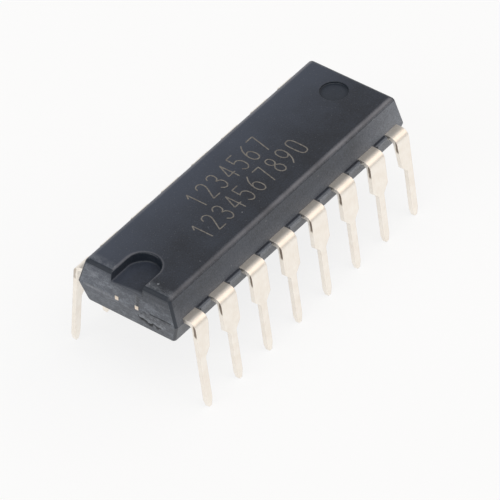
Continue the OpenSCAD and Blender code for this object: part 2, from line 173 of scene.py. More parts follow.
def moulded_epoxy(look):
    """Silica-filled epoxy, transfer-moulded in a spark-eroded cavity: a dark blue-grey skin whose
    fine even grain scatters highlights. Pale lines over the arrises along the sides and round the
    notch are a painted highlight, the upright corners and the arrises over the ends are darkened
    as a painted reflection, and the notch's wall and the round hollow carry painted shade. The
    walls are paler with mould powder and a painted reflection, there is a painted sheen towards the
    far row of leads, and the end with the gate is pale and blotchy."""
    material, tree, mm = new_material("Silica-filled epoxy, transfer-moulded")
    (x, y, z), toward, facing, out = read_surface(tree, mm)

    # The grain of a spark-eroded mould is about 0.02 mm: drawn 4 times as coarse, so that it
    # shows. The resin's clouds are about 2.4 mm across
    grain = add(tree, "ShaderNodeTexNoise", {
        "Vector": mm, "Scale": MM / look.grain, "Detail": 3.0, "Roughness": 0.65})
    cloud = add(tree, "ShaderNodeTexNoise", {
        "Vector": mm, "Scale": 0.42, "Detail": 5.0, "Roughness": 0.62})
    mottle = add(tree, "ShaderNodeMath", {0: grain, 1: 1.2, 2: cloud}, operation="MULTIPLY_ADD")
    mottle = add(tree, "ShaderNodeMapRange", {"Value": mottle, "From Min": 0.9, "From Max": 1.3})
    # Paler towards the far row of leads: a painted sheen
    painted_sheen = add(tree, "ShaderNodeMapRange", {
        "Value": y, "From Min": -0.8, "From Max": 2.6, "To Max": 0.62})

    # Grains of silica that lie open at the surface, as single pale points about 0.2 mm apart, which
    # also stand in for painted glints
    silica = add(tree, "ShaderNodeTexVoronoi", {"Vector": mm, "Scale": 1 / 0.2})
    silica = add(tree, "ShaderNodeMapRange", {
        "Value": silica, "From Min": 0.17, "From Max": 0.05, "To Max": 0.14})

    # Paler walls, most towards the far end and over the foot of the upper half, and paler tabs,
    # tab edges and lower half: mould dust rubbed into the walls, a painted reflection of the white
    # floor, and a painted highlight along the tabs' outer edges
    dust_and_reflection = add(tree, "ShaderNodeMapRange", {
        "Value": toward["Z"], "From Min": 0.62, "From Max": 0.35})
    wall_sheen = add(tree, "ShaderNodeMapRange", {
        "Value": x, "From Min": 5.5, "From Max": BODY_END - 0.7, "To Min": 0.2, "To Max": 0.66})
    foot_sheen = add(tree, "ShaderNodeMapRange", {
        "Value": z, "From Min": PARTING + 0.94, "From Max": PARTING + 0.34, "To Max": 0.16})
    wall_sheen = add(tree, "ShaderNodeMath", {0: wall_sheen, 1: foot_sheen}, operation="ADD")
    dust_and_reflection = add(tree, "ShaderNodeMath", {0: dust_and_reflection, 1: wall_sheen}, operation="MULTIPLY")
    tab_reflection = add(tree, "ShaderNodeMapRange", {
        "Value": out, "From Min": HALF_WIDTH + 0.05, "From Max": HALF_WIDTH + 0.12,
        "To Max": 0.85})
    steep = add(tree, "ShaderNodeMapRange", {
        "Value": toward["Z"], "From Min": 0.85, "From Max": 0.6})
    tab_reflection = add(tree, "ShaderNodeMath", {0: tab_reflection, 1: steep}, operation="MULTIPLY")
    tab_edge_highlight = add(tree, "ShaderNodeMapRange", {
        "Value": out, "From Min": HALF_WIDTH + 0.04, "From Max": HALF_WIDTH + 0.11,
        "To Max": 0.6})
    lower_half_reflection = add(tree, "ShaderNodeMapRange", {
        "Value": toward["Z"], "From Min": -0.1, "From Max": -0.28, "To Max": 0.66})
    for more in (tab_reflection, tab_edge_highlight, lower_half_reflection):
        dust_and_reflection = add(tree, "ShaderNodeMath", {0: dust_and_reflection, 1: more}, operation="MAXIMUM")

    # The end where the runner broke off: streaks and blotches about 0.5 mm across, fewer towards
    # the top on the side of the gate, and a worn strip beside that end on the top face
    gate_end = add(tree, "ShaderNodeMapRange", {
        "Value": toward["X"], "From Min": -0.8, "From Max": -0.97})
    cleaner = add(tree, "ShaderNodeMapRange", {
        "Value": z, "From Min": PARTING + 0.34, "From Max": PARTING + 1.24,
        "To Min": 1.0, "To Max": 0.2})
    beside = add(tree, "ShaderNodeMapRange", {
        "Value": y, "From Min": 0.3, "From Max": 2.2, "To Max": 0.6})
    cleaner = add(tree, "ShaderNodeMath", {0: cleaner, 1: beside}, operation="ADD", use_clamp=True)
    gate_end = add(tree, "ShaderNodeMath", {0: gate_end, 1: cleaner}, operation="MULTIPLY")
    on_top = add(tree, "ShaderNodeMath", {0: z, 1: BODY_TOP - 0.1}, operation="GREATER_THAN")
    strip = add(tree, "ShaderNodeMapRange", {
        "Value": x, "From Min": 0.85 - BODY_END, "From Max": 0.5 - BODY_END, "To Max": 0.5})
    for part in (toward["Z"], on_top):
        strip = add(tree, "ShaderNodeMath", {0: strip, 1: part}, operation="MULTIPLY")
    zone = add(tree, "ShaderNodeMath", {0: gate_end, 1: strip}, operation="MAXIMUM")
    streaks = add(tree, "ShaderNodeMapping", {"Vector": mm, "Scale": (1.0, 0.8, 1.7)})
    streaks = add(tree, "ShaderNodeTexNoise", {
        "Vector": streaks, "Scale": 2.1, "Detail": 8.0, "Roughness": 0.85, "Distortion": 0.4})
    blotch = add(tree, "ShaderNodeMapRange", {"Value": streaks, "From Min": 0.38, "From Max": 0.62})
    blotch = add(tree, "ShaderNodeMath", {0: blotch, 1: zone}, operation="MULTIPLY")
    dust_and_reflection = add(tree, "ShaderNodeMath", {0: dust_and_reflection, 1: blotch}, operation="MAXIMUM")

    # The grain breaks up the dust and painted reflection here and there, and on the far end they
    # lie in patches
    caught = add(tree, "ShaderNodeMapRange", {
        "Value": grain, "From Min": 0.3, "From Max": 0.7, "To Min": 0.66, "To Max": 1.34})
    dust_and_reflection = add(tree, "ShaderNodeMath", {0: dust_and_reflection, 1: caught}, operation="MULTIPLY", use_clamp=True)
    far_end = add(tree, "ShaderNodeMapRange", {
        "Value": toward["X"], "From Min": 0.8, "From Max": 0.97})
    patchy = add(tree, "ShaderNodeMapRange", {
        "Value": streaks, "From Min": 0.36, "From Max": 0.62, "To Min": -0.6, "To Max": 0.0})
    patchy = add(tree, "ShaderNodeMath", {0: far_end, 1: patchy, 2: 1.0}, operation="MULTIPLY_ADD")
    dust_and_reflection = add(tree, "ShaderNodeMath", {0: dust_and_reflection, 1: patchy}, operation="MULTIPLY")

    # The distance in plan from the line along the middle of the notch
    along = add(tree, "ShaderNodeMath", {0: x, 1: NOTCH_CENTRE_X}, operation="SUBTRACT")
    along = add(tree, "ShaderNodeMath", {0: along, 1: 0.0}, operation="MAXIMUM")
    notch = add(tree, "ShaderNodeCombineXYZ", {"X": along, "Y": y})
    notch = add(tree, "ShaderNodeVectorMath", {0: notch}, operation="LENGTH").outputs["Value"]

    # A painted highlight: a ragged pale line over the rounded arris on each side of the top face,
    # less towards the notch, and over the rim of the notch
    section = add(tree, "ShaderNodeCombineXYZ", {"Y": out, "Z": z})
    arris_highlight = add(tree, "ShaderNodeVectorMath", {0: section, 1: (0, ARRIS_OUT, ARRIS_HIGH)},
                 operation="DISTANCE").outputs["Value"]
    arris_highlight = add(tree, "ShaderNodeMath", {0: grain, 1: -0.12, 2: arris_highlight}, operation="MULTIPLY_ADD")
    arris_highlight = add(tree, "ShaderNodeMapRange", {
        "Value": arris_highlight, "From Min": 0.12, "From Max": -0.02, "To Max": 1.1})
    less = add(tree, "ShaderNodeMapRange", {
        "Value": x, "From Min": -8.0, "From Max": 4.0, "To Min": 0.55})
    arris_highlight = add(tree, "ShaderNodeMath", {0: arris_highlight, 1: less}, operation="MULTIPLY")
    # The notch's rim gets the same painted highlight
    rim = add(tree, "ShaderNodeMapRange", {
        "Value": notch, "From Min": NOTCH_HALF_WIDTH + 0.15, "From Max": NOTCH_HALF_WIDTH + 0.06,
        "To Max": 0.45})
    rim = add(tree, "ShaderNodeMath", {0: rim, 1: on_top}, operation="MULTIPLY")
    arris_highlight = add(tree, "ShaderNodeMath", {0: arris_highlight, 1: rim}, operation="MAXIMUM")
    arris_highlight = add(tree, "ShaderNodeMath", {0: arris_highlight, 1: cloud}, operation="MULTIPLY")

    # Painted dark reflection: the upright corners and the arrises over the two ends darkened
    corner = add(tree, "ShaderNodeMath", {0: facing["X"], 1: facing["Y"]}, operation="MULTIPLY")
    arris = add(tree, "ShaderNodeMath", {0: facing["X"], 1: facing["Z"]}, operation="MULTIPLY")
    dark_reflection = add(tree, "ShaderNodeMath", {0: corner, 1: arris}, operation="MAXIMUM")
    dark_reflection = add(tree, "ShaderNodeMath", {0: grain, 1: 0.25, 2: dark_reflection},
                   operation="MULTIPLY_ADD")
    dark_reflection = add(tree, "ShaderNodeMapRange", {
        "Value": dark_reflection, "From Min": 0.28, "From Max": 0.46, "To Max": 0.9})

    # Painted shade on the wall of the notch, found from its distance in plan, its depth and its
    # slope
    notch_wall_shade = add(tree, "ShaderNodeMapRange", {
        "Value": notch, "From Min": NOTCH_HALF_WIDTH + 0.05, "From Max": NOTCH_HALF_WIDTH,
        "To Max": 0.85})
    below = add(tree, "ShaderNodeMapRange", {
        "Value": z, "From Min": BODY_TOP - 0.07, "From Max": BODY_TOP - 0.12})
    upright = add(tree, "ShaderNodeMapRange", {
        "Value": facing["Z"], "From Min": 0.5, "From Max": 0.2})
    above = add(tree, "ShaderNodeMath", {0: z, 1: BODY_TOP - NOTCH_DEPTH - 0.02},
                operation="GREATER_THAN")
    for part in (below, upright, above):
        notch_wall_shade = add(tree, "ShaderNodeMath", {0: notch_wall_shade, 1: part}, operation="MULTIPLY")

    # The front of the notch's floor made paler, more so on the side of the gate
    front = add(tree, "ShaderNodeMath", {0: y, 1: 0.12, 2: x}, operation="MULTIPLY_ADD")
    front = add(tree, "ShaderNodeMapRange", {
        "Value": front, "From Min": 0.28 - BODY_END, "From Max": 0.02 - BODY_END,
        "To Max": 0.55})
    on_floor = add(tree, "ShaderNodeMath", {0: z, 1: BODY_TOP - NOTCH_DEPTH + 0.05},
                   operation="LESS_THAN")
    for part in (on_floor, toward["Z"]):
        front = add(tree, "ShaderNodeMath", {0: front, 1: part}, operation="MULTIPLY",
                    use_clamp=True)

    # The round recess, left by a polished pin, with painted shade in its corner
    round_by = add(tree, "ShaderNodeVectorMath", {0: mm, 1: (RECESS_X, RECESS_Y, BODY_TOP)},
                   operation="DISTANCE").outputs["Value"]
    recess_shade = add(tree, "ShaderNodeMath", {0: round_by, 1: RECESS_RADIUS + 0.01},
                 operation="LESS_THAN")
    corner_shade = add(tree, "ShaderNodeMapRange", {
        "Value": round_by, "From Min": RECESS_RADIUS - 0.22, "From Max": RECESS_RADIUS - 0.06,
        "To Min": 0.5})
    sunk = add(tree, "ShaderNodeMath", {0: z, 1: BODY_TOP - 0.015}, operation="LESS_THAN")
    for part in (corner_shade, sunk):
        recess_shade = add(tree, "ShaderNodeMath", {0: recess_shade, 1: part}, operation="MULTIPLY")

    # The skin, layer over layer: painted sheen, silica, dust with painted reflection, painted
    # highlight, the paler front of the notch's floor, and painted shade
    # The smooth share paints shade and dark reflection into the colour, and makes those places less
    # rough
    smooth = dark_reflection
    for part in (notch_wall_shade, recess_shade):
        smooth = add(tree, "ShaderNodeMath", {0: smooth, 1: part}, operation="MAXIMUM")
    skin = add(tree, "ShaderNodeMix", {"Factor": mottle, 6: look.resin_dark, 7: look.resin_light},
               data_type="RGBA")
    for share, colour in ((painted_sheen, look.resin_sheen), (silica, look.silica), (dust_and_reflection, look.dust_and_reflection_tone),
                          (arris_highlight, look.arris_highlight_tone), (front, look.dust_and_reflection_tone), (smooth, look.resin_shade)):
        skin = add(tree, "ShaderNodeMix", {"Factor": share, 6: skin, 7: colour}, data_type="RGBA")

    rough = add(tree, "ShaderNodeMapRange", {"Value": grain, "To Min": 0.44, "To Max": 0.6})
    rough = add(tree, "ShaderNodeMath", {0: smooth, 1: -0.16, 2: rough}, operation="MULTIPLY_ADD")
    coarse = add(tree, "ShaderNodeMath", {0: blotch, 1: 1.5, 2: grain}, operation="MULTIPLY_ADD")
    round_edge = add(tree, "ShaderNodeBevel", {"Radius": 0.05 * MM}, samples=4)
    relief = add(tree, "ShaderNodeBump", {
        "Height": coarse, "Strength": 0.4, "Distance": 0.02 * MM, "Normal": round_edge})
    shader = add(tree, "ShaderNodeBsdfPrincipled", {
        "Base Color": skin, "Roughness": rough, "Normal": relief, "IOR": 1.53})
    add(tree, "ShaderNodeOutputMaterial", {"Surface": shader})
    return material


def plated_lead(look):
    """Copper alloy strip, matt plated, stamped and formed: pale warm metal with a soft, broad
    highlight on the bend and faint rolling lines down the limb. The dam bars between the leads are
    sheared off after plating, which leaves a torn brown-grey mark on each edge below the bend."""
    material, tree, mm = new_material("Copper alloy strip, matt plated, stamped and formed")
    (_, y, z), toward, facing, out = read_surface(tree, mm)

    # Rolling lines are a few microns apart: drawn about 0.05 mm apart, so that they show. The
    # plate's patches are about 0.45 mm across
    along = add(tree, "ShaderNodeMapping", {"Vector": mm, "Scale": (14.0, 14.0, 0.9)})
    rolled = add(tree, "ShaderNodeTexNoise", {
        "Vector": along, "Scale": 1.5, "Detail": 4.0, "Roughness": 0.55})
    patch = add(tree, "ShaderNodeTexNoise", {"Vector": mm, "Scale": 2.2, "Detail": 3.0})
    tone = add(tree, "ShaderNodeMath", {0: rolled, 1: 0.6, 2: patch}, operation="MULTIPLY_ADD")
    tone = add(tree, "ShaderNodeMapRange", {"Value": tone, "From Min": 0.6, "From Max": 1.0})

    # The torn half of a sheared edge: on the narrow faces, in the half next to the outer face,
    # from the bend down to where the dam bar was, and sharper on the row of leads 1 to 8
    drop = add(tree, "ShaderNodeMath", {0: LIMB_HIGH, 1: z}, operation="SUBTRACT")
    outer = add(tree, "ShaderNodeMath", {
        0: drop, 1: math.tan(math.radians(LEAD_SPLAY)), 2: LIMB_OUT}, operation="MULTIPLY_ADD")
    inward = add(tree, "ShaderNodeMath", {0: outer, 1: out}, operation="SUBTRACT")
    ragged = add(tree, "ShaderNodeMath", {0: patch, 1: 0.16, 2: inward}, operation="MULTIPLY_ADD")
    torn = add(tree, "ShaderNodeMapRange", {"Value": ragged, "From Min": 0.25, "From Max": 0.2})
    low = add(tree, "ShaderNodeMapRange", {
        "Value": z, "From Min": FRAME_TOP - 1.0, "From Max": FRAME_TOP - 0.85})
    high = add(tree, "ShaderNodeMapRange", {
        "Value": z, "From Min": FRAME_TOP - 0.12, "From Max": FRAME_TOP - 0.25})
    edge = add(tree, "ShaderNodeMapRange", {
        "Value": facing["X"], "From Min": 0.8, "From Max": 0.95})
    sharper = add(tree, "ShaderNodeMapRange", {
        "Value": y, "From Min": 1.0, "From Max": -1.0, "To Min": 0.5})
    for part in (low, high, edge, sharper):
        torn = add(tree, "ShaderNodeMath", {0: torn, 1: part}, operation="MULTIPLY")
    tip = add(tree, "ShaderNodeMapRange", {
        "Value": toward["Z"], "From Min": -0.85, "From Max": -0.95, "To Max": 0.6})
    bare = add(tree, "ShaderNodeMath", {0: torn, 1: tip}, operation="MAXIMUM")

    colour = add(tree, "ShaderNodeMix", {"Factor": tone, 6: look.plate_warm, 7: look.plate_pale},
                 data_type="RGBA")
    colour = add(tree, "ShaderNodeMix", {"Factor": bare, 6: colour, 7: look.torn_copper},
                 data_type="RGBA")
    rough = add(tree, "ShaderNodeMapRange", {"Value": rolled, "To Min": 0.32, "To Max": 0.46})
    rough = add(tree, "ShaderNodeMath", {0: bare, 1: 0.2, 2: rough}, operation="MULTIPLY_ADD")
    round_edge = add(tree, "ShaderNodeBevel", {"Radius": 0.03 * MM}, samples=4)
    relief = add(tree, "ShaderNodeBump", {
        "Height": rolled, "Strength": 0.35, "Distance": 0.006 * MM, "Normal": round_edge})
    shader = add(tree, "ShaderNodeBsdfPrincipled", {
        "Base Color": colour, "Metallic": 1.0, "Roughness": rough, "Normal": relief})
    add(tree, "ShaderNodeOutputMaterial", {"Surface": shader})
    return material


def rolled_copper():
    """Copper alloy strip, rolled, with a thin silver flash: dull bright metal with rolling lines
    drawn as coarse as on the leads. The tie bars' cut ends are small cream-coloured points."""
    material, tree, mm = new_material("Copper alloy strip, rolled and flashed")
    along = add(tree, "ShaderNodeMapping", {"Vector": mm, "Scale": (1.0, 14.0, 14.0)})
    streak = add(tree, "ShaderNodeTexNoise", {"Vector": along, "Scale": 1.5, "Detail": 4.0})
    colour = add(tree, "ShaderNodeMix", {
        "Factor": streak, 6: linear("e2d2be"), 7: linear("f6ece0")}, data_type="RGBA")
    relief = add(tree, "ShaderNodeBump", {
        "Height": streak, "Strength": 0.3, "Distance": 0.005 * MM})
    shader = add(tree, "ShaderNodeBsdfPrincipled", {
        "Base Color": colour, "Metallic": 1.0, "Roughness": 0.5, "Normal": relief})
    add(tree, "ShaderNodeOutputMaterial", {"Surface": shader})
    return material


def silver_epoxy():
    """Silver-filled epoxy, dispensed and cured: a grey paste with bright flakes of 0.04 mm."""
    material, tree, mm = new_material("Silver-filled epoxy, cured")
    flakes = add(tree, "ShaderNodeTexVoronoi", {"Vector": mm, "Scale": 1 / 0.04})
    flakes = add(tree, "ShaderNodeMapRange", {"Value": flakes, "From Min": 0.1, "From Max": 0.6})
    colour = add(tree, "ShaderNodeMix", {
        "Factor": flakes, 6: linear("d6d7da"), 7: linear("8e9094")}, data_type="RGBA")
    shader = add(tree, "ShaderNodeBsdfPrincipled", {
        "Base Color": colour, "Metallic": 0.6, "Roughness": 0.5})
    add(tree, "ShaderNodeOutputMaterial", {"Surface": shader})
    return material


def patterned_silicon():
    """Silicon wafer, etched and passivated: blocks of fine lines under a hard clear skin. The
    lines are far below a micron: drawn about 0.1 mm apart, so that they show."""
    material, tree, mm = new_material("Silicon wafer, etched and passivated")
    blocks = add(tree, "ShaderNodeTexBrick", {
        "Vector": mm, "Scale": 4.0, "Color1": linear("3e4a58"), "Color2": linear("6a6f66"),
        "Mortar": linear("a79a72"), "Mortar Size": 0.03})
    lines = add(tree, "ShaderNodeTexWave", {"Vector": mm, "Scale": 9.0}, bands_direction="DIAGONAL")
    lines = add(tree, "ShaderNodeMapRange", {"Value": lines.outputs["Fac"], "To Max": 0.3})
    colour = add(tree, "ShaderNodeMix", {"Factor": lines, 6: blocks, 7: linear("8d93a0")},
                 data_type="RGBA")
    shader = add(tree, "ShaderNodeBsdfPrincipled", {
        "Base Color": colour, "Roughness": 0.18, "Coat Weight": 0.6, "IOR": 2.0})
    add(tree, "ShaderNodeOutputMaterial", {"Surface": shader})
    return material


def drawn_gold():
    """Fine gold, drawn: smooth and warm, with faint marks from the die it is drawn through, about
    0.02 mm apart."""
    material, tree, mm = new_material("Fine gold, drawn")
    lines = add(tree, "ShaderNodeTexNoise", {"Vector": mm, "Scale": 60.0, "Detail": 2.0})
    colour = add(tree, "ShaderNodeMix", {
        "Factor": lines, 6: linear("d8b455"), 7: linear("f0d385")}, data_type="RGBA")
    shader = add(tree, "ShaderNodeBsdfPrincipled", {
        "Base Color": colour, "Metallic": 1.0, "Roughness": 0.22})
    add(tree, "ShaderNodeOutputMaterial", {"Surface": shader})
    return material


def lasered_epoxy(look):
    """Epoxy skin, laser-marked: the beam burns the dark skin off and leaves a thin matt warm-grey
    line of bare silica, uneven in brightness along each stroke, every 0.12 mm or so."""
    material, tree, mm = new_material("Epoxy skin, laser-marked")
    burnt = add(tree, "ShaderNodeTexNoise", {"Vector": mm, "Scale": 1 / 0.12, "Detail": 2.0})
    depth = add(tree, "ShaderNodeMapRange", {"Value": burnt, "From Min": 0.35, "From Max": 0.65})
    colour = add(tree, "ShaderNodeMix", {"Factor": depth, 6: look.mark_faint, 7: look.mark_strong},
                 data_type="RGBA")
    relief = add(tree, "ShaderNodeBump", {"Height": burnt, "Strength": 0.5, "Distance": 0.01 * MM})
    shader = add(tree, "ShaderNodeBsdfPrincipled", {
        "Base Color": colour, "Roughness": 0.8, "Normal": relief})
    add(tree, "ShaderNodeOutputMaterial", {"Surface": shader})
    return material


def broken_epoxy():
    """Silica-filled epoxy, broken: a granular fracture with crumbs of 0.14 mm, pale on the crumbs,
    with painted light and shade that makes ledges paler and hollows nearly black. How high a spot
    stands, and so how lit or shaded it is painted, comes from the mesh, as a number from 0 to 1."""
    material, tree, mm = new_material("Silica-filled epoxy, broken")
    crumbs = add(tree, "ShaderNodeTexNoise", {
        "Vector": mm, "Scale": 1 / 0.14, "Detail": 4.0, "Roughness": 0.7})
    stand = add(tree, "ShaderNodeAttribute", attribute_name=LIGHT_AND_SHADE).outputs["Fac"]
    tone = add(tree, "ShaderNodeMath", {0: crumbs, 1: 0.9, 2: stand}, operation="MULTIPLY_ADD")
    tone = add(tree, "ShaderNodeMapRange", {"Value": tone, "From Min": 0.35, "From Max": 1.35})
    colour = add(tree, "ShaderNodeMix", {"Factor": tone, 6: linear("1b1d21"), 7: linear("989ca3")},
                 data_type="RGBA")
    relief = add(tree, "ShaderNodeBump", {"Height": crumbs, "Strength": 0.7, "Distance": 0.03 * MM})
    shader = add(tree, "ShaderNodeBsdfPrincipled", {
        "Base Color": colour, "Roughness": 0.75, "Normal": relief})
    add(tree, "ShaderNodeOutputMaterial", {"Surface": shader})
    return material


def paper_board(stage):
    """Coated paper board: an even white floor that keeps a soft shadow. The camera and reflections
    see it a part brighter than it is lit, which lifts it to the white of the backdrop."""
    material, tree, mm = new_material("Coated paper board")
    fibre = add(tree, "ShaderNodeTexNoise", {"Vector": mm, "Scale": 0.05, "Detail": 2.0})
    colour = add(tree, "ShaderNodeMix", {
        "Factor": fibre, 6: stage.floor_colour, 7: linear("ffffff")}, data_type="RGBA")
    lit = add(tree, "ShaderNodeBsdfPrincipled", {
        "Base Color": colour, "Roughness": 0.9, "Specular IOR Level": 0.1})
    white = add(tree, "ShaderNodeEmission", {"Color": linear("ffffff"), "Strength": 1.0})
    ray = add(tree, "ShaderNodeLightPath")
    seen = ray.outputs["Is Camera Ray"]
    for kind in ("Is Glossy Ray", "Is Transmission Ray"):
        seen = add(tree, "ShaderNodeMath", {0: seen, 1: ray.outputs[kind]}, operation="MAXIMUM")
    share = add(tree, "ShaderNodeMath", {0: seen, 1: stage.backdrop_share}, operation="MULTIPLY")
    board = add(tree, "ShaderNodeMixShader", {0: share, 1: lit, 2: white})
    add(tree, "ShaderNodeOutputMaterial", {"Surface": board})
    return material


def finish_with(names, material):
    """Gives CAD nodes a material in every slot they have."""
    for name in names:
        for slot in NODES[name].material_slots:
            slot.material = material


def piece_from(name, shape, material):
    """A new piece of the package from a bmesh, riding on its one body, with the resin's slot."""
    mesh = bpy.data.meshes.new(name)
    shape.to_mesh(mesh)
    shape.free()
    mesh.materials.append(material)
    piece = bpy.data.objects.new(name, mesh)
    bpy.context.scene.collection.objects.link(piece)
    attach(piece, "root")


def rounded_path(points, steps):
    """Cuts each corner of an open path with a short curve, shorter where the path turns sharply."""
    path = [points[0]]
    for before, corner, after in zip(points, points[1:], points[2:]):
        sharp = (corner - before).angle(after - corner) > math.radians(70)
        share = 0.06 if sharp else 0.38
        start, end = corner.lerp(before, share), corner.lerp(after, share)
        for k in range(steps + 1):
            t = k / steps
            path.append(start.lerp(corner, t).lerp(corner.lerp(end, t), t))
    return path + [points[-1]]


def add_stroke(shape, points, width, height):
    """A flat ribbon of the stroke's width along a path just over the top face, with round ends. It
    climbs by a few microns on the way, so that it never lies in one plane with itself."""
    def put(p, i):
        z = height + 0.004 * i / len(points)
        return shape.verts.new((p.x * MM, p.y * MM, z * MM))

    rim = []
    for i, point in enumerate(points):
        ahead = (points[min(i + 1, len(points) - 1)] - points[max(i - 1, 0)]).normalized()
        across = Vector((-ahead.y, ahead.x)) * width / 2
        rim.append((put(point + across, i), put(point - across, i)))
    for (a, b), (c, d) in zip(rim, rim[1:]):
        shape.faces.new((a, b, d, c))
    last = len(points) - 1
    for i, inner, pair in ((last, last - 1, rim[-1]), (0, 1, rim[0][::-1])):
        out = (points[i] - points[inner]).normalized() * width / 2
        made = [put(points[i] + Matrix.Rotation(math.radians(90 - 30 * k), 2) @ out, i)
                for k in range(1, 6)]
        shape.faces.new([pair[1]] + made[::-1] + [pair[0]])


def end_wall_x(z):
    """How far the end walls stand from the middle at a height, in millimetres."""
    draft = END_DRAFT_UPPER if z > PARTING else END_DRAFT_LOWER
    return BODY_END - abs(z - PARTING) * math.tan(math.radians(draft))


def end_sheet(shape, side, span, rise, profile):
    """A fine sheet over an end wall, with a point every 0.03 mm. The profile gives, for each place
    on it, how far the sheet stands out of the wall and its number for the broken resin's painted
    light and shade; where it lies below, it is left out."""
    stand = shape.verts.layers.float.new(LIGHT_AND_SHADE)
    step = 0.03
    across, down = (round((high - low) / step) for low, high in (span, rise))
    rows = []
    for i in range(across + 1):
        row = []
        for j in range(down + 1):
            y, z = span[0] + i * step, rise[0] + j * step
            height, tone = profile(y, z)
            point = shape.verts.new((side * (end_wall_x(z) + height) * MM, y * MM, z * MM))
            point[stand] = tone
            row.append((point, height))
        rows.append(row)
    for a, b in zip(rows, rows[1:]):
        for k in range(down):
            corners = (a[k], a[k + 1], b[k + 1], b[k])
            if max(height for point, height in corners) > 0:
                shape.faces.new(
                    [point for point, height in (corners if side < 0 else corners[::-1])])


def crumbled(y, z, size):
    """Irregular relief between about -1 and 1, with crumbs of the given size in millimetres."""
    return noise.fractal(Vector((y / size, z / size, 4.0)), 0.9, 2.1, 4)


def interpolate(y, table):
    """The value at a place on a table of places and values that falls from place to place."""
    for (y0, z0), (y1, z1) in zip(table, table[1:]):
        if y1 <= y <= y0:
            return z0 + (z1 - z0) * (y - y0) / (y1 - y0)
    return table[0][1] if y > table[0][0] else table[-1][1]


def broken_gate(y, z):
    """The broken gate: a ledge that ends in a ragged lower edge, paler towards that edge as a
    painted highlight, and below it a sheet painted nearly black as the shadow of a torn hollow,
    which narrows away from the notch."""
    if not GATE_START < y < GATE_STOP:
        return -0.02, 0.0
    edge = PARTING + interpolate(y, GATE_EDGE) + 0.05 * crumbled(y, 1.0, 0.2)
    fade = min(1.0, (y - GATE_START) * 4, (GATE_STOP - y) * 8, (PARTING + 0.02 - z) * 8)
    if z > edge:
        lip = max(0.0, 1 - (z - edge) / 0.4)
        crumb = crumbled(y, z, 0.16)
        return fade * (0.012 + 0.05 * lip + 0.03 * crumb) - 0.01, 0.3 + 0.4 * lip + 0.35 * crumb
    # Below the edge: a sheet just out of the wall, painted nearly black as a shadow
    reach = 0.38 + 0.26 * crumbled(y, 3.0, 0.25)
    reach *= min(1.0, max(0.05, 2.5 * (y - GATE_START - 0.2)))
    torn = (edge - z) / reach
    height = 0.008 if 0 <= torn < 1 else -0.02
    return height * min(1.0, fade * 2), 0.6 * max(0.0, torn) ** 3 - 0.12


def runner_mark(y, z):
    """The trace of the runner that crossed the end wall beside the notch: a ragged upright step,
    with a darker strip of painted shade beside it.
    """
    middle = GATE_STOP + 0.06 * crumbled(2.0, z, 0.25)
    fade = min(1.0, (z - PARTING - RUNNER_FOOT) * 6, (PARTING + RUNNER_HEAD - z) * 6)
    if middle < y < middle + 0.09:
        return fade * (0.02 + 0.02 * crumbled(y, z, 0.1)) - 0.004, 0.4
    # The strip beside the step is painted darker: painted shade of the step
    if middle - 0.16 < y <= middle:
        return fade * (0.008 + 0.01 * crumbled(y, z, 0.1)) - 0.002, 0.2
    return -0.02, 0.0


def flash_section(side, y, fade, seam):
    """The flash cut across at one place: corners out from the wall and up from the parting line,
    each with its number for the broken resin's painted light and shade. A low fin, pale and partly
    a painted highlight, stands below a seam that is painted dark by the gate as a shadow."""
    fin = fade * (0.024 + 0.02 * noise.noise(Vector((y * 3.1, side * 5.0, 0.7))))
    top = seam * (0.8 + 0.4 * noise.noise(Vector((y * 1.3, side * 2.0, 3.1))))
    by_gate = side < 0 and y < 0
    # The fin's pale tone is partly a painted highlight, less so by the gate
    pale = (0.3 if by_gate else 0.6) + 0.4 * noise.noise(Vector((y * 4.7, side * 3.0, 1.9)))
    # By the gate the seam's number paints a dark shadow under the upper half
    seam_shade = 0.05 if by_gate and y < SEAM_SHADE_STOP else 0.5
    return ((0.003, top + 0.04, seam_shade), (0.003, top, seam_shade), (fin, top - 0.03, pale),
            (fin, 0.0, pale), (-0.01, -0.08, pale))


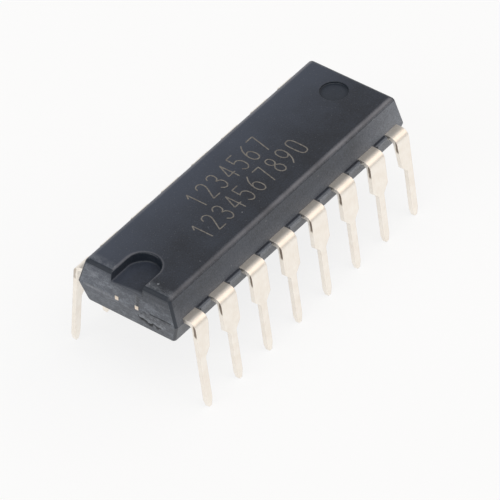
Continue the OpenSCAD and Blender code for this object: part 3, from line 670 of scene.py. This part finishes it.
class PackageSettings(bpy.types.PropertyGroup):
    grain: FloatProperty(
        name="Skin grain", description="Size of the grain of the moulded skin",
        default=0.08 * MM, unit="LENGTH")
    resin_dark: FloatVectorProperty(
        name="Resin, darker", description="Darker tone of the moulding",
        default=linear("191d26"), subtype="COLOR")
    resin_light: FloatVectorProperty(
        name="Resin, lighter", description="Lighter tone of the moulding",
        default=linear("2c323e"), subtype="COLOR")
    # A painted sheen: the tone the moulding is lightened to towards the far row of leads
    resin_sheen: FloatVectorProperty(
        name="Resin, hazed", description="Tone of the moulding towards the far row of leads",
        default=linear("495161"), subtype="COLOR")
    # The colour of painted shade and dark reflection: the upright corners, the end arrises, the
    # notch's wall and the round recess's corner
    resin_shade: FloatVectorProperty(
        name="Resin, polished", description="Tone of the corners, the end arrises and the notch",
        default=linear("1e2631"), subtype="COLOR")
    # The colour of the open silica grains, which also serve as painted glints
    silica: FloatVectorProperty(
        name="Silica", description="Colour of the grains that lie open at the surface",
        default=linear("a4a3a3"), subtype="COLOR")
    # The colour of the painted highlight over the rounded arrises and the notch's rim
    arris_highlight_tone: FloatVectorProperty(
        name="Worn arris", description="Colour of the arrises that handling has worn",
        default=linear("8c8c92"), subtype="COLOR")
    # Mould dust and a painted reflection on the walls, tabs and lower half; the front of the
    # notch's floor takes it too
    dust_and_reflection_tone: FloatVectorProperty(
        name="Mould dust", description="Colour of the dust rubbed into the walls",
        default=linear("868b93"), subtype="COLOR")
    plate_warm: FloatVectorProperty(
        name="Plate, warmer", description="Warmer tone of the plated leads",
        default=linear("f6eee3"), subtype="COLOR")
    plate_pale: FloatVectorProperty(
        name="Plate, paler", description="Paler tone of the plated leads",
        default=linear("fcf6ed"), subtype="COLOR")
    torn_copper: FloatVectorProperty(
        name="Sheared edge", description="Colour of the torn metal on the leads' edges",
        default=linear("998c7f"), subtype="COLOR")
    mark_faint: FloatVectorProperty(
        name="Laser mark, faint", description="Colour of the marking where the beam burnt least",
        default=linear("66625e"), subtype="COLOR")
    mark_strong: FloatVectorProperty(
        name="Laser mark, strong", description="Colour of the marking where the beam burnt most",
        default=linear("827e78"), subtype="COLOR")


class MarkingSettings(bpy.types.PropertyGroup):
    upper_line: StringProperty(
        name="Upper line", description="Plain figures of the upper line", default="1234567")
    lower_line: StringProperty(
        name="Lower line", description="Plain figures of the lower line", default="1234567890")
    figure_height: FloatProperty(
        name="Figure height", description="Height of the figures",
        default=1.3 * MM, unit="LENGTH")
    figure_width: FloatProperty(
        name="Figure width", description="Width of the figures",
        default=0.5 * MM, unit="LENGTH")
    figure_pitch: FloatProperty(
        name="Figure pitch", description="Distance between figures",
        default=0.887 * MM, unit="LENGTH")
    stroke: FloatProperty(
        name="Stroke", description="Width of the burnt line",
        default=0.075 * MM, unit="LENGTH")


class StageSettings(bpy.types.PropertyGroup):
    floor_colour: FloatVectorProperty(
        name="Floor", description="Colour of the floor",
        default=linear("f6f5f3"), subtype="COLOR")
    backdrop_share: FloatProperty(
        name="Backdrop share", description="Share of plain white that the camera sees in the floor",
        default=0.8, min=0.0, max=1.0, subtype="FACTOR")
    key_power: FloatProperty(
        name="Key lamp", description="Power of the lamp on the right",
        default=0.9, unit="POWER")
    key_colour: FloatVectorProperty(
        name="Key colour", description="Colour of the lamp on the right",
        default=linear("fff0e2"), subtype="COLOR")
    fill_power: FloatProperty(
        name="Fill lamp", description="Power of the lamp on the left",
        default=0.6, unit="POWER")
    top_power: FloatProperty(
        name="Top lamp", description="Power of the lamp above",
        default=1.9, unit="POWER")
    rim_power: FloatProperty(
        name="Rim lamp", description="Power of the low lamp behind the package",
        default=0.6, unit="POWER")
    sky_level: FloatProperty(
        name="Sky", description="Strength of the even light from all round",
        default=0.4, min=0.0)
    camera_target: FloatVectorProperty(
        name="Camera target", description="The point that the camera looks at",
        default=(-1.307 * MM, -1.353 * MM, (FRAME_TOP - 2.059) * MM),
        subtype="TRANSLATION", unit="LENGTH")
    camera_turn: FloatProperty(
        name="Camera azimuth", description="Where the camera stands round the package",
        default=math.radians(-140.922), subtype="ANGLE")
    camera_rise: FloatProperty(
        name="Camera elevation", description="How high the camera stands",
        default=math.radians(42.203), subtype="ANGLE")
    camera_roll: FloatProperty(
        name="Camera roll", description="Lean of the camera about its own axis",
        default=math.radians(2.6876), subtype="ANGLE")
    camera_distance: FloatProperty(
        name="Camera distance", description="From the camera to the point it looks at",
        default=274.536 * MM, unit="LENGTH")
    lens: FloatProperty(name="Lens", description="Focal length, in millimetres", default=383.685)


class PACKAGE_OT_moulding(bpy.types.Operator):
    """Gives the moulded body its epoxy skin"""
    bl_idname = "package.moulding"
    bl_label = "Moulded body"

    def execute(self, context):
        finish_with(["moulded_body"], moulded_epoxy(context.scene.package))
        return {"FINISHED"}


class PACKAGE_OT_leads(bpy.types.Operator):
    """Gives the sixteen leads their plate and sheared edges"""
    bl_idname = "package.leads"
    bl_label = "Leads"

    def execute(self, context):
        finish_with(LEADS, plated_lead(context.scene.package))
        return {"FINISHED"}


class PACKAGE_OT_inner_parts(bpy.types.Operator):
    """Finishes the paddle, adhesive, chip and bond wires inside the body"""
    bl_idname = "package.inner_parts"
    bl_label = "Inner parts"

    def execute(self, context):
        finish_with(["die_paddle"], rolled_copper())
        finish_with(["die_attach"], silver_epoxy())
        finish_with(["silicon_die"], patterned_silicon())
        finish_with(WIRES, drawn_gold())
        return {"FINISHED"}


class PACKAGE_OT_marking(bpy.types.Operator):
    """Draws two lines of plain figures on the top face"""
    bl_idname = "package.marking"
    bl_label = "Laser marking"

    def execute(self, context):
        marking = context.scene.marking
        material = lasered_epoxy(context.scene.package)
        across = marking.figure_width / MM / GRID_WIDE
        up = marking.figure_height / MM / GRID_HIGH
        for name, line, start in (("marking_upper", marking.upper_line, UPPER_START),
                                  ("marking_lower", marking.lower_line, LOWER_START)):
            shape = bmesh.new()
            for i, figure in enumerate(line):
                left = start[0] + i * marking.figure_pitch / MM
                for k, stroke in enumerate(FIGURES[figure]):
                    points = [Vector((left + x * across, start[1] + y * up)) for x, y in stroke]
                    add_stroke(shape, rounded_path(points, 4), marking.stroke / MM,
                               BODY_TOP + 0.002 + 0.006 * k)
            piece_from(name, shape, material)
        return {"FINISHED"}


class PACKAGE_OT_mould_traces(bpy.types.Operator):
    """Adds what the mould leaves on the ends: the broken gate, the runner's trace and thin flash"""
    bl_idname = "package.mould_traces"
    bl_label = "Mould traces"

    def execute(self, context):
        material = broken_epoxy()
        for name, span, rise, profile in (
                ("gate_scar", (GATE_START - 0.04, GATE_STOP + 0.04),
                 (PARTING + GATE_FOOT, PARTING + 0.03), broken_gate),
                ("runner_mark", (GATE_STOP - 0.26, GATE_STOP + 0.19),
                 (PARTING + RUNNER_FOOT - 0.03, PARTING + RUNNER_HEAD + 0.04), runner_mark)):
            sheet = bmesh.new()
            end_sheet(sheet, -1, span, rise, profile)
            loose = [point for point in sheet.verts if not point.link_faces]
            bmesh.ops.delete(sheet, geom=loose, context="VERTS")
            piece_from(name, sheet, material)

        flash = bmesh.new()
        stand = flash.verts.layers.float.new(LIGHT_AND_SHADE)
        for side in (-1, 1):
            for start, stop, seam in FLASH_RUNS:
                steps = int((stop - start) / 0.05)
                rings = []
                for k in range(steps + 1):
                    y = start + (stop - start) * k / steps
                    fade = min(1.0, 12 * k / steps, 5 * (steps - k) / steps)
                    ring = []
                    for out, up, tone in flash_section(side, y, fade, seam):
                        x = end_wall_x(PARTING + up) + out * fade - 0.01 * (1 - fade)
                        ring.append(flash.verts.new((side * x * MM, y * MM, (PARTING + up) * MM)))
                        ring[-1][stand] = tone
                    rings.append(ring)
                for a, b in zip(rings, rings[1:]):
                    for i in range(len(a) - 1):
                        face = (a[i], a[i + 1], b[i + 1], b[i])
                        flash.faces.new(face if side > 0 else face[::-1])
        piece_from("parting_flash", flash, material)
        return {"FINISHED"}


class PACKAGE_OT_handling_marks(bpy.types.Operator):
    """Sets the few pale chips and scratches that handling has left on the skin"""
    bl_idname = "package.handling_marks"
    bl_label = "Handling marks"

    def execute(self, context):
        marks = bmesh.new()
        stand = marks.verts.layers.float.new(LIGHT_AND_SHADE)
        lean = math.radians(SIDE_DRAFT)
        for x, y, up, length, width, angle in CHIPS:
            if up is None:
                facing, spot = Vector((0, 0, 1)), Vector((x, y, BODY_TOP))
            else:
                facing = Vector((0, -math.cos(lean), math.sin(lean)))
                spot = Vector((x, up * math.tan(lean) - HALF_WIDTH, PARTING + up))
            along = Vector((1, 0, 0))
            across = facing.cross(along)
            turned = along * math.cos(angle) + across * math.sin(angle)
            across = across * math.cos(angle) - along * math.sin(angle)
            rim = []
            for k in range(11):
                t = 2 * math.pi * k / 11
                ragged = 1 + 0.4 * noise.noise(spot * 3 + Vector((k, 0, 0)))
                reach = turned * math.cos(t) * length + across * math.sin(t) * width
                p = spot + reach * ragged / 2
                rim.append(marks.verts.new((p - facing * 0.003) * MM))
            peak = marks.verts.new((spot + facing * 0.014) * MM)
            for point in rim + [peak]:
                point[stand] = 0.45
            for a, b in zip(rim, rim[1:] + rim[:1]):
                marks.faces.new((a, b, peak))
        piece_from("handling_marks", marks, broken_epoxy())
        return {"FINISHED"}


def aim(thing, target):
    """Turns a lamp or camera so that it looks at a point."""
    thing.rotation_euler = (Vector(target) - thing.location).to_track_quat("-Z", "Y").to_euler()


def direction(azimuth, elevation):
    """The unit vector that stands at an azimuth and an elevation, in radians."""
    return Vector((math.cos(elevation) * math.cos(azimuth),
                   math.cos(elevation) * math.sin(azimuth), math.sin(elevation)))


class PACKAGE_OT_stage(bpy.types.Operator):
    """Builds the floor, the lamps, the even light and the camera"""
    bl_idname = "package.stage"
    bl_label = "Stage"

    def execute(self, context):
        scene = context.scene
        stage = scene.stage
        board = bmesh.new()
        bmesh.ops.create_grid(board, x_segments=2, y_segments=2, size=3.0)
        mesh = bpy.data.meshes.new("floor")
        board.to_mesh(mesh)
        board.free()
        mesh.materials.append(paper_board(stage))
        floor = bpy.data.objects.new("floor", mesh)
        floor.location.z = -0.01 * MM
        scene.collection.objects.link(floor)

        # Each lamp: azimuth and elevation in degrees, distance, width and height in metres
        middle = Vector((0, 0, 5 * MM))
        for name, azimuth, elevation, distance, width, height, power in (
                ("key_lamp", -49, 38, 0.55, 0.75, 0.42, stage.key_power),
                ("fill_lamp", 170, 35, 0.6, 0.4, 0.3, stage.fill_power),
                ("top_lamp", -120, 72, 0.8, 0.6, 0.6, stage.top_power),
                ("rim_lamp", 45, 12, 0.7, 1.3, 0.22, stage.rim_power)):
            lamp = bpy.data.objects.new(name, bpy.data.lights.new(name, "AREA"))
            lamp.data.shape = "RECTANGLE"
            lamp.data.size, lamp.data.size_y = width, height
            lamp.data.energy = power
            lamp.data.color = stage.key_colour if name == "key_lamp" else (1.0, 1.0, 1.0)
            where = direction(math.radians(azimuth), math.radians(elevation))
            lamp.location = middle + where * distance
            aim(lamp, middle)
            scene.collection.objects.link(lamp)

        world = bpy.data.worlds.new("even_light")
        world.use_nodes = True
        sky = world.node_tree.nodes["Background"]
        sky.inputs["Color"].default_value = [*linear("ffffff"), 1.0]
        sky.inputs["Strength"].default_value = stage.sky_level
        scene.world = world

        camera = bpy.data.objects.new("camera", bpy.data.cameras.new("camera"))
        target = Vector(stage.camera_target)
        camera.data.sensor_width = 36
        camera.data.lens = stage.lens
        camera.data.clip_start = 0.02
        where = direction(stage.camera_turn, stage.camera_rise)
        camera.location = target + where * stage.camera_distance
        look = (target - camera.location).to_track_quat("-Z", "Y").to_matrix()
        look = look @ Matrix.Rotation(-stage.camera_roll, 3, "Z")
        camera.rotation_euler = look.to_euler()
        scene.collection.objects.link(camera)
        scene.camera = camera
        scene.view_settings.view_transform = "Standard"
        return {"FINISHED"}


class PACKAGE_PT_panel(bpy.types.Panel):
    """Lists the settings and the steps"""
    bl_idname = "PACKAGE_PT_panel"
    bl_label = "Package"
    bl_space_type = "VIEW_3D"
    bl_region_type = "UI"
    bl_category = "Package"

    def draw(self, context):
        for group in (context.scene.package, context.scene.marking, context.scene.stage):
            box = self.layout.box()
            for name in group.bl_rna.properties.keys():
                if name not in ("rna_type", "name"):
                    box.prop(group, name)
        for step in STEPS:
            self.layout.operator(step.bl_idname)


STEPS = (PACKAGE_OT_stage, PACKAGE_OT_moulding, PACKAGE_OT_leads, PACKAGE_OT_inner_parts,
         PACKAGE_OT_marking, PACKAGE_OT_mould_traces, PACKAGE_OT_handling_marks)
CLASSES = (PackageSettings, MarkingSettings, StageSettings) + STEPS + (PACKAGE_PT_panel,)


def register():
    for item in CLASSES:
        bpy.utils.register_class(item)
    bpy.types.Scene.package = PointerProperty(type=PackageSettings)
    bpy.types.Scene.marking = PointerProperty(type=MarkingSettings)
    bpy.types.Scene.stage = PointerProperty(type=StageSettings)


def unregister():
    del bpy.types.Scene.stage, bpy.types.Scene.marking, bpy.types.Scene.package
    for item in reversed(CLASSES):
        bpy.utils.unregister_class(item)


def main():
    register()
    bpy.ops.package.stage()
    bpy.ops.package.moulding()
    bpy.ops.package.leads()
    bpy.ops.package.inner_parts()
    bpy.ops.package.marking()
    bpy.ops.package.mould_traces()
    bpy.ops.package.handling_marks()


if __name__ == "__main__":
    main()
